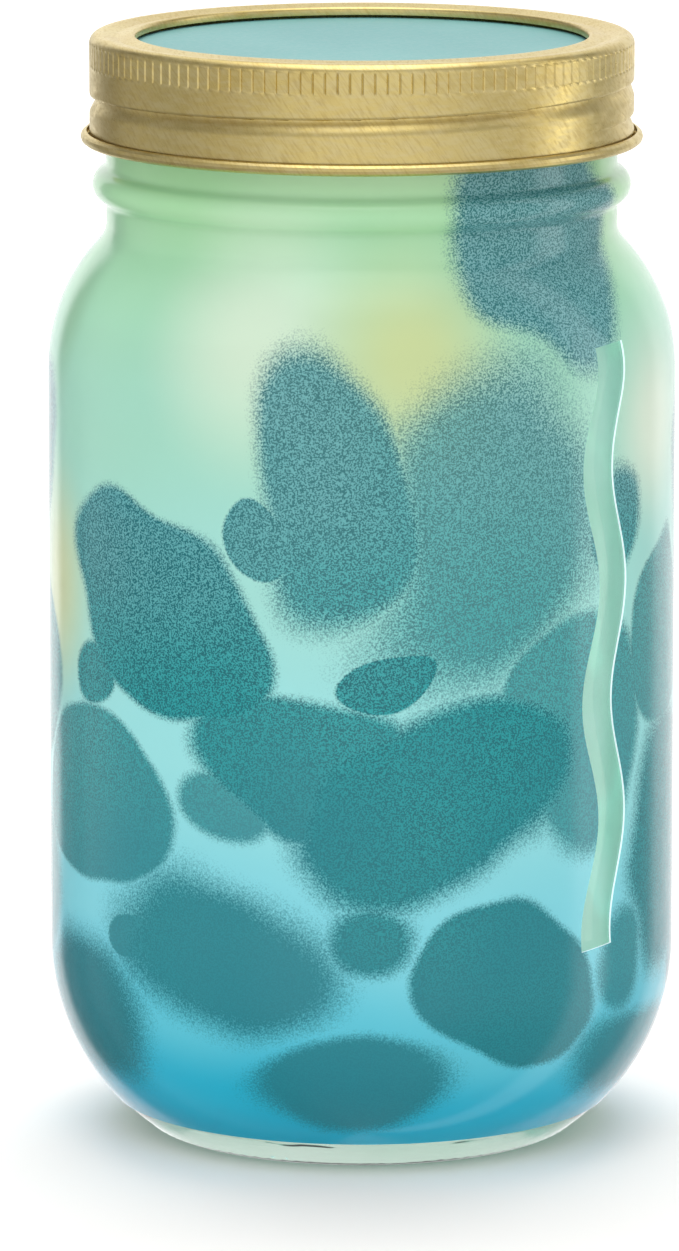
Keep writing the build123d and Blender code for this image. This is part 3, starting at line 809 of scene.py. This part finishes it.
class Nodes:
    """The node tree of a material or a world, with short ways to add and join nodes."""

    def __init__(self, owner, output="ShaderNodeOutputMaterial"):
        self.owner = owner
        owner.use_nodes = True
        self.tree = owner.node_tree
        self.tree.nodes.clear()
        self.output = self.add(output)

    def add(self, kind, inputs=None, **settings):
        """A new node with its settings, and its inputs by name or number."""
        node = self.tree.nodes.new(kind)
        for key, value in settings.items():
            setattr(node, key, value)
        for key, value in (inputs or {}).items():
            self.feed(node.inputs[key], value)
        return node

    def feed(self, target, value):
        """Sets an input to a plain value, or joins a socket to it."""
        if isinstance(value, bpy.types.NodeSocket):
            self.tree.links.new(value, target)
        elif isinstance(value, tuple) and len(value) == 3 and target.type == "RGBA":
            target.default_value = (*value, 1)
        else:
            target.default_value = value

    def place(self):
        return self.add("ShaderNodeTexCoord").outputs["Object"]

    def axes(self, place):
        return self.add("ShaderNodeSeparateXYZ", {0: place}).outputs

    def ray(self, kind):
        """1 for a ray of this kind."""
        return self.add("ShaderNodeLightPath").outputs[f"Is {kind} Ray"]

    def math(self, operation, *values):
        return self.add("ShaderNodeMath", dict(enumerate(values)), operation=operation).outputs[0]

    def vector(self, operation, *values):
        return self.add("ShaderNodeVectorMath", dict(enumerate(values)), operation=operation).outputs[0]

    def ramp(self, value, low, high, start=0.0, end=1.0, smooth=True):
        """value taken from low..high to start..end."""
        inputs = dict(enumerate((value, low, high, start, end)))
        kind = "SMOOTHSTEP" if smooth else "LINEAR"
        return self.add("ShaderNodeMapRange", inputs, interpolation_type=kind).outputs[0]

    def spread(self, value, start=0.0, end=1.0):
        """A noise's value taken to start..end from the range that most of it keeps to."""
        return self.ramp(value, *NOISE_RANGE, start, end)

    def noise(self, scale, detail=2.0, rough=0.5, place=None, stretch=None, output="Fac"):
        """Noise on the surface. stretch scales the three axes of its place."""
        place = place or self.place()
        if stretch:
            place = self.vector("MULTIPLY", place, stretch)
        inputs = {"Vector": place, "Scale": scale, "Detail": detail, "Roughness": rough}
        return self.add("ShaderNodeTexNoise", inputs).outputs[output]

    def mix(self, share, first, second):
        return self.add("ShaderNodeMix", {0: share, 6: first, 7: second}, data_type="RGBA").outputs[2]

    def between(self, share, first, second):
        """A number between two, by share."""
        return self.add("ShaderNodeMix", {0: share, 2: first, 3: second}).outputs[0]

    def tones(self, value, first, second):
        """A colour between two hex colours by a noise's value."""
        return self.mix(self.spread(value), rgb(first), rgb(second))

    def stops(self, value, stops):
        """A colour ramp with (place, colour) stops."""
        node = self.add("ShaderNodeValToRGB", {0: value})
        node.color_ramp.interpolation = "EASE"
        ramp = node.color_ramp.elements
        while len(ramp) < len(stops):
            ramp.new(0.5)
        for element, (place, colour) in zip(ramp, stops):
            element.position = place
            element.color = (*colour, 1)
        return node.outputs[0]

    def bump(self, height, strength, distance):
        inputs = {"Strength": strength, "Distance": distance, "Height": height}
        return self.add("ShaderNodeBump", inputs).outputs[0]

    def blend(self, share, first, second):
        """Two surfaces mixed by share."""
        return self.add("ShaderNodeMixShader", {0: share, 1: first, 2: second}).outputs[0]

    def shader(self, **inputs):
        """A surface with its inputs given by name, underscores for spaces."""
        named = {name.replace("_", " "): value for name, value in inputs.items()}
        return self.add("ShaderNodeBsdfPrincipled", named).outputs[0]

    def show(self, socket):
        self.feed(self.output.inputs["Surface"], socket)
        return self.owner


def new_material(name):
    return Nodes(bpy.data.materials.new(name))


def rgb(code):
    """A linear colour from a six-figure hex colour."""
    parts = [int(code[i:i + 2], 16) / 255 for i in (0, 2, 4)]
    return tuple(c / 12.92 if c <= 0.04045 else ((c + 0.055) / 1.055) ** 2.4 for c in parts)


# Each stone of the print: degrees round from the front, height, half width, half height, tilt in degrees
STONES = [
    (-38, 88, 23, 16, 16), (-6, 112, 13, 19, -12), (25, 103, 19, 24, 20), (-9, 70, 17, 12, -12),
    (-60, 57, 21, 14, 9), (14, 62, 24, 15, -18), (-27, 36, 20, 12, 8), (42, 70, 15, 20, 18),
    (31, 31, 18, 13, 24), (-2, 14, 19, 9, -4), (-64, 22, 18, 11, -12), (43, 146, 19, 20, -24),
    (71, 84, 12, 18, 6), (76, 50, 15, 19, -8), (68, 16, 18, 9, 12), (-88, 112, 15, 14, -18),
    (-96, 78, 19, 13, 16), (-92, 40, 15, 17, 0), (-108, 140, 14, 9, 10), (104, 110, 20, 14, -12),
    (106, 76, 15, 18, 14), (102, 36, 21, 12, -9), (134, 92, 18, 13, 20), (140, 56, 17, 16, -15),
    (136, 124, 16, 11, 8), (132, 20, 18, 9, 4), (170, 104, 20, 15, -14), (172, 70, 16, 19, 10),
    (168, 36, 20, 12, -20), (-156, 122, 15, 12, 18), (-150, 84, 19, 14, -8), (-148, 50, 16, 17, 16),
    (-152, 20, 19, 9, -6), (-122, 96, 17, 17, 8), (-118, 60, 21, 13, -14), (-120, 22, 16, 10, 10),
    (-21, 104, 6, 4, 20), (-26, 60, 7, 5, -30), (2, 42, 9, 6, 14), (-46, 36, 5, 4, 0),
    (8, 84, 6, 5, 0), (52, 106, 6, 9, 10), (58, 34, 6, 8, -10), (-58, 76, 7, 5, 20),
    (90, 92, 6, 8, 0), (120, 60, 7, 9, 12), (154, 84, 6, 6, 0), (-170, 60, 7, 8, 0),
    (-136, 36, 8, 6, 10), (-108, 44, 6, 7, 0), (-104, 100, 6, 5, 0), (86, 30, 6, 5, 0),
]
SOFTNESS = (0.05, 0.16, 0.28, 0.10)
DEPTHS = (1.0, 0.94, 0.86, 0.97, 0.9)
GRAIN_SPREAD = 2.2
WARP_REACH = 22 * MM
OVAL_DEPTH = 22 * MM
# Soft patches of the print, and two of painted light: degrees round from the front, height, half width, half
# height, colour
PATCHES_AND_PAINTED_LIGHT = [
    (-20, 134, 21, 26, "d7ead2"), (9, 130, 19, 22, "ccd798"), (-74, 90, 15, 22, "d3d9a8"),
    # Painted light: the 8fc09c patch at -72 is painted edge darkening along the left shoulder, and the c6eabc
    # band at 4 is a painted lift of the band's shade on the neck
    (-72, 137, 7, 19, "8fc09c"), (67, 116, 15, 19, "e4efdc"), (4, 158, 60, 8, "c6eabc"),
    (150, 112, 24, 26, "d3dba6"), (-130, 80, 20, 26, "d7e6c4"), (-176, 136, 26, 20, "d7ead2"),
]


def oval_distance(nodes, place, azimuth, height, half_width, half_height, tilt):
    """0 at the middle of an oval on the jar's wall, and 1 at its edge."""
    angle = math.radians(azimuth)
    inputs = {
        "Vector": place,
        "Location": around(angle, BODY_RADIUS, height * MM),
        "Rotation": (0, math.radians(tilt), angle),
        "Scale": (half_width * MM, OVAL_DEPTH, half_height * MM),
    }
    own_place = nodes.add("ShaderNodeMapping", inputs, vector_type="TEXTURE").outputs[0]
    return nodes.add("ShaderNodeVectorMath", {0: own_place}, operation="LENGTH").outputs["Value"]


def print_colour_and_painted_light(nodes):
    """The print: a mint to cyan ground, pale patches, and soft dark water-worn stones with a fine grain. Two
    patches are painted light: a pale band that lifts the band's shade on the neck, and a darker band painted
    along the left shoulder's edge where the glass edge looks dark.
    """
    place = nodes.place()
    level = nodes.ramp(nodes.axes(place)["Z"], 0.0, 0.16, smooth=False)
    drift = nodes.math("MULTIPLY_ADD", nodes.noise(16, 1.0), 0.16, -0.08)
    ground = nodes.stops(
        nodes.math("ADD", level, drift),
        [
            (0.0, rgb("009fbe")), (0.09, rgb("16b6d4")), (0.16, rgb("5cc8db")), (0.24, rgb("7fd4e0")),
            (0.40, rgb("9adedf")), (0.58, rgb("a2dcd3")), (0.76, rgb("a3d9c4")), (1.0, rgb("a8d9a2")),
        ],
    )
    # Print patches, and the two painted-light bands, laid over the ground
    for azimuth, middle, half_width, half_height, pale in PATCHES_AND_PAINTED_LIGHT:
        distance = oval_distance(nodes, place, azimuth, middle, half_width, half_height, 0)
        share = nodes.ramp(distance, 1.1, 0.1, 0.0, 0.92)
        ground = nodes.mix(share, ground, rgb(pale))

    warp = nodes.vector("SUBTRACT", nodes.noise(26, 1.5, place=place, output="Color"), (0.5,) * 3)
    bent = nodes.vector("ADD", place, nodes.vector("MULTIPLY", warp, (WARP_REACH,) * 3))
    grain = nodes.noise(3700, 1.0)
    centred_grain = nodes.math("SUBTRACT", grain, 0.5)
    shade = None
    for index, (azimuth, middle, half_width, half_height, tilt) in enumerate(STONES):
        distance = oval_distance(nodes, bent, azimuth, middle, half_width, half_height, tilt)
        soft = SOFTNESS[index % len(SOFTNESS)]
        deep = DEPTHS[index % len(DEPTHS)]
        stippled = nodes.math("ADD", distance, nodes.math("MULTIPLY", centred_grain, GRAIN_SPREAD * soft))
        share = nodes.ramp(stippled, 1.0 + soft, 1.0 - soft, 0.0, deep)
        shade = share if shade is None else nodes.math("MAXIMUM", shade, share)
    depth = nodes.math("MULTIPLY_ADD", nodes.noise(20), 0.7, level)
    teal = nodes.mix(nodes.ramp(depth, 0.42, 1.15), rgb("007a87"), rgb("0c9296"))
    lively = nodes.ramp(depth, 0.5, 0.9, 0.12, 1.0)
    fleck = nodes.mix(nodes.ramp(depth, 0.75, 1.3), rgb("20b2b2"), rgb("9cc0c8"))
    pale = nodes.mix(nodes.math("MULTIPLY", nodes.ramp(shade, 1.0, 0.4, 0.52, 0.8), lively), teal, fleck)
    dark = nodes.mix(nodes.math("MULTIPLY", lively, 0.75), teal, rgb("005560"))
    return nodes.mix(shade, ground, nodes.mix(nodes.ramp(grain, 0.41, 0.59), dark, pale))


def through_mix(nodes, front, colour, share):
    """A surface that also lets some light through in its own colour."""
    through = nodes.add("ShaderNodeBsdfTranslucent", {"Color": colour})
    return nodes.blend(share, front, through.outputs[0])


def make_print_and_painted_light_material():
    nodes = new_material("print_coat_and_painted_light")
    colour = print_colour_and_painted_light(nodes)
    rough = nodes.spread(nodes.noise(420, 3.0), 0.34, 0.44)
    front = nodes.shader(
        Base_Color=colour, Roughness=rough, Specular_IOR_Level=0.15, Coat_Weight=1.0, Coat_Roughness=0.1,
        Coat_IOR=1.45, Normal=nodes.bump(nodes.noise(60), 0.12, 0.4 * MM),
    )
    return nodes.show(through_mix(nodes, front, colour, 0.12))


def make_underbase_and_glow_material():
    """The white layer under the print, seen inside the jar and on the cut edges, and lit through the coat.
    Its glow is painted light that brightens the inside seen through the sight strip.
    """
    nodes = new_material("print_underbase_and_painted_glow")
    tone = nodes.tones(nodes.noise(180, 3.0), "eef5f0", "dcebe4")
    front = nodes.shader(
        Base_Color=tone, Roughness=nodes.spread(nodes.noise(600), 0.45, 0.6),
        # Painted light: the underbase glows, so the jar's inside seen through the sight strip looks lit
        Emission_Color=rgb("d6e5f0"), Emission_Strength=1.0,
    )
    return nodes.show(through_mix(nodes, front, tone, 0.4))


def make_glass_material():
    nodes = new_material("clear_glass")
    glass = nodes.shader(
        Base_Color=nodes.tones(nodes.noise(40), "e2f7ea", "cdf0dc"),
        Roughness=nodes.spread(nodes.noise(90), 0.0, 0.03),
        Transmission_Weight=1.0, IOR=1.5, Normal=nodes.bump(nodes.noise(70), 0.25, 0.5 * MM),
    )
    clear = nodes.add("ShaderNodeBsdfTransparent", {"Color": rgb("e4f5ed")})
    return nodes.show(nodes.blend(nodes.ray("Shadow"), glass, clear.outputs[0]))


def make_gold_material():
    """Satin gold sheet with cloudy tone, fine hairlines round it and faint diagonal scratches."""
    nodes = new_material("gold_band")
    hairs = nodes.noise(1300, 3.0, 0.6, stretch=(0.25, 0.25, 1.0))
    turned = nodes.add("ShaderNodeMapping", {"Vector": nodes.place(), "Rotation": (0, math.radians(35), 0)})
    diagonal = nodes.noise(3200, 2.0, 0.6, place=turned.outputs[0], stretch=(1.0, 0.25, 0.12))
    scratches = nodes.ramp(diagonal, 0.42, 0.72)
    gold = nodes.tones(nodes.noise(55, 3.0), "dac279", "e3cf8b")
    gold = nodes.mix(nodes.ramp(hairs, 0.35, 0.7, 0.0, 0.3), gold, rgb("ede0b4"))
    gold = nodes.mix(nodes.math("MULTIPLY", scratches, 0.3), gold, rgb("b89a56"))
    rough = nodes.math("ADD", nodes.spread(hairs, 0.27, 0.38), nodes.math("MULTIPLY", scratches, 0.08))
    height = nodes.math("SUBTRACT", hairs, nodes.math("MULTIPLY", scratches, 0.3))
    normal = nodes.bump(height, 0.12, 0.06 * MM)
    metal = nodes.shader(Base_Color=gold, Metallic=1.0, Roughness=rough, Anisotropic=0.25, Normal=normal)
    return nodes.show(metal)


def make_tinplate_material():
    nodes = new_material("lid_tinplate")
    tone = nodes.tones(nodes.noise(60, 3.0), "cfc4a0", "dad2b4")
    rough = nodes.spread(nodes.noise(700, stretch=(1, 0.1, 1)), 0.22, 0.34)
    return nodes.show(nodes.shader(Base_Color=tone, Metallic=1.0, Roughness=rough))


def make_rubber_material():
    nodes = new_material("seal_rubber")
    tone = nodes.tones(nodes.noise(500, 3.0), "a8452f", "b9573d")
    rough = nodes.spread(nodes.noise(900), 0.55, 0.75)
    return nodes.show(nodes.shader(Base_Color=tone, Roughness=rough))


def make_label_material():
    nodes = new_material("label_card")
    fibre = nodes.noise(1400, 3.0, 0.6)
    tone = nodes.tones(nodes.noise(30), "5b9291", "669b99")
    tone = nodes.mix(nodes.spread(fibre, 0.0, 0.22), tone, rgb("7fb0ac"))
    rough = nodes.spread(fibre, 0.42, 0.55)
    normal = nodes.bump(fibre, 0.15, 0.05 * MM)
    return nodes.show(nodes.shader(Base_Color=tone, Roughness=rough, Normal=normal))


def make_steel_material():
    nodes = new_material("pot_steel")
    brushed = nodes.noise(1200, 2.0, 0.6, stretch=(0.15, 0.15, 1.0))
    tone = nodes.tones(nodes.noise(50, 3.0), "c9cac8", "d8d8d4")
    rough = nodes.spread(brushed, 0.24, 0.38)
    normal = nodes.bump(brushed, 0.1, 0.05 * MM)
    return nodes.show(nodes.shader(Base_Color=tone, Metallic=1.0, Roughness=rough, Normal=normal))


def make_fibre_material(name, tones, scale, stretch, rough, strength, depth):
    """A dry fibrous surface: two tones from dark to light along its fibres, and the fibres as relief."""
    nodes = new_material(name)
    fibre = nodes.noise(scale, 4.0, 0.65, stretch=stretch)
    cloud = nodes.noise(scale / 12)
    mixed = nodes.math("ADD", nodes.math("MULTIPLY", fibre, 0.7), nodes.math("MULTIPLY", cloud, 0.3))
    tone = nodes.mix(nodes.ramp(mixed, 0.34, 0.66), rgb(tones[0]), rgb(tones[1]))
    surface = nodes.shader(
        Base_Color=tone, Roughness=nodes.spread(fibre, rough - 0.1, rough),
        Normal=nodes.bump(fibre, strength, depth),
    )
    return nodes.show(surface)


def make_film_material():
    """White sachet film with a soft gloss and fine creases."""
    nodes = new_material("food_film")
    creases = nodes.noise(260, 3.0, 0.7)
    tone = nodes.tones(nodes.noise(70), "e6e8e4", "f1f2ee")
    film = nodes.shader(
        Base_Color=tone, Roughness=nodes.spread(creases, 0.22, 0.36), Coat_Weight=0.3,
        Normal=nodes.bump(creases, 0.35, 0.2 * MM),
    )
    return nodes.show(film)


# Stage, lights and camera
def make_stage():
    """A pale floor with a faint glow of its own, stronger far off, and a glow seen through the glass that is
    painted light lifting the shade under the jar. Reflections see the studio in its place.
    """
    bm = bmesh.new()
    corners = [(x * FLOOR_REACH, y * FLOOR_REACH, 0) for x, y in ((-1, -1), (1, -1), (1, 1), (-1, 1))]
    bm.faces.new([bm.verts.new(corner) for corner in corners])
    floor = new_object("floor", bm)
    floor.visible_glossy = False
    nodes = new_material("floor")
    white = nodes.tones(nodes.noise(3), "f5f1ee", "f8f4f1")
    matte = nodes.shader(Base_Color=white, Roughness=0.9, Specular_IOR_Level=0.1)
    far = nodes.ramp(nodes.axes(nodes.place())["Y"], 0.1, 0.9, *FLOOR_GLOW)
    # Painted light: seen through the glass, the floor glows to lift the shade under the jar
    painted_light_through_glass = nodes.math("MULTIPLY", nodes.ray("Transmission"), PAINTED_LIGHT_THROUGH_GLASS)
    glow = nodes.add("ShaderNodeEmission", {"Strength": nodes.math("MAXIMUM", far, painted_light_through_glass)})
    seen = nodes.math("MAXIMUM", nodes.ray("Camera"), nodes.ray("Transmission"))
    lit = nodes.add("ShaderNodeAddShader", {0: matte, 1: glow.outputs[0]})
    floor.data.materials.append(nodes.show(nodes.blend(seen, matte, lit.outputs[0])))


def make_world():
    """White where it is seen. It lights softly from all round, and reflections see panels round the jar."""
    world = bpy.data.worlds.new("studio")
    bpy.context.scene.world = world
    nodes = Nodes(world, "ShaderNodeOutputWorld")
    east, north, up = nodes.axes(nodes.add("ShaderNodeTexCoord").outputs["Generated"])
    azimuth = nodes.math("ARCTAN2", east, nodes.math("MULTIPLY", north, -1.0))
    share = nodes.math("MULTIPLY_ADD", azimuth, 0.5 / math.pi, 0.5)
    stops = [(degrees / 360 + 0.5, [bright / PANEL_SCALE] * 3) for degrees, bright in PANELS]
    level = nodes.stops(share, stops)
    lifted = nodes.ramp(up, 0.2, 0.5, PANEL_SCALE, PANEL_SCALE * REAR_DIM)
    low = nodes.ramp(up, -0.24, -0.6, 1.0, LOW_DIM)
    round_about = nodes.math("MULTIPLY", level, nodes.math("MULTIPLY", lifted, low))
    middle = nodes.ramp(nodes.math("ABSOLUTE", east), 0.6, 0.15, 0.8, TOP_PANEL)
    overhead = nodes.ramp(up, 0.72, 0.93)
    panels = nodes.between(overhead, round_about, middle)
    soft = nodes.ramp(north, -1.0, 0.4, AMBIENT_FRONT, AMBIENT_BACK)
    seen = nodes.math("MAXIMUM", nodes.ray("Camera"), nodes.ray("Transmission"))
    strength = nodes.between(nodes.ray("Glossy"), soft, panels)
    background = nodes.add("ShaderNodeBackground", {"Strength": nodes.between(seen, strength, 1.0)})
    nodes.show(background.outputs[0])


def make_lamp(name, place, size, power, target=(0, 0, 0.09)):
    """A soft lamp that only lights: reflections see the studio's panels in its place."""
    lamp = bpy.data.lights.new(name, "AREA")
    lamp.shape = "RECTANGLE"
    lamp.size, lamp.size_y = size
    lamp.energy = power
    holder = bpy.data.objects.new(name, lamp)
    holder.visible_glossy = False
    holder.location = place
    holder.rotation_euler = (Vector(target) - Vector(place)).to_track_quat("-Z", "Y").to_euler()
    bpy.context.scene.collection.objects.link(holder)


def make_camera():
    """Where the photograph was taken from: 1.4 m in front, looking down by about ten degrees."""
    view = bpy.data.cameras.new("camera")
    view.sensor_width = CAMERA_SENSOR
    view.lens = CAMERA_LENS
    holder = bpy.data.objects.new("camera", view)
    holder.location = CAMERA_PLACE
    holder.rotation_euler = (math.radians(CAMERA_PITCH_DEG), 0, 0)
    bpy.context.scene.collection.objects.link(holder)
    bpy.context.scene.camera = holder


def dress(piece, body, node, slot, *materials):
    """Gives a piece its materials and the body that it rides, and hides the node that it stands for. slot is
    not used.
    """
    for material in materials:
        piece.data.materials.append(material)
    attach(piece, body)
    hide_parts(node)


make_stage()
make_world()
make_lamp("back_box", (0.0, 0.6, 1.25), (1.3, 0.8), 12)
make_lamp("front_box", (-0.15, -0.95, 1.15), (1.3, 1.0), 7)
make_camera()

dress(make_jar(), "jar", "glass_jar", "clear_glass", make_glass_material())
dress(make_print(), "jar", "printed_wrap", "printed_coat", make_print_and_painted_light_material(), make_underbase_and_glow_material())
dress(make_band(), "band", "screw_band", "gold_band", make_gold_material())
dress(make_disc(), "lid_insert", "lid_disc", "lid_tinplate", make_tinplate_material())
dress(make_gasket(), "lid_insert", "lid_gasket", "seal_rubber", make_rubber_material())
dress(make_label(), "lid_insert", "lid_label", "label_card", make_label_material())

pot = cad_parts["net_pot"]
pot.data.materials.clear()
pot.data.materials.append(make_steel_material())
felt = make_fibre_material("wick_felt", ("c9c7bd", "e9e7df"), 1500, (1, 1, 0.5), 0.95, 0.5, 0.15 * MM)
coir = make_fibre_material("coir", ("3b2413", "8a603a"), 900, (1, 1, 0.3), 0.95, 0.8, 0.4 * MM)
paper = make_fibre_material("seed_paper", ("c7a777", "d9bf93"), 1100, (0.3, 1, 1), 0.85, 0.25, 0.05 * MM)
fleece = make_fibre_material("carbon_fleece", ("b4b8b6", "e2e5e2"), 1300, (1, 1, 1), 0.95, 0.5, 0.1 * MM)
card = make_fibre_material("card_paper", ("e9e6dc", "f5f3ec"), 1200, (0.4, 1, 1), 0.8, 0.15, 0.04 * MM)
dress(make_wick(), "jar", "felt_wick", "wick_felt", felt)
dress(make_plug(), "jar", "grow_medium", "coir", coir)
for sheet in make_seed_packet():
    dress(sheet, "jar", "seed_packet", "seed_paper", paper)
dress(make_food_sachet(), "jar", "plant_food_sachet", "food_film", make_film_material())
dress(make_carbon_sachet(), "jar", "carbon_sachet", "carbon_fleece", fleece)
dress(make_card(), "jar", "instruction_card", "card_paper", card)

bpy.context.scene.view_settings.view_transform = "Standard"
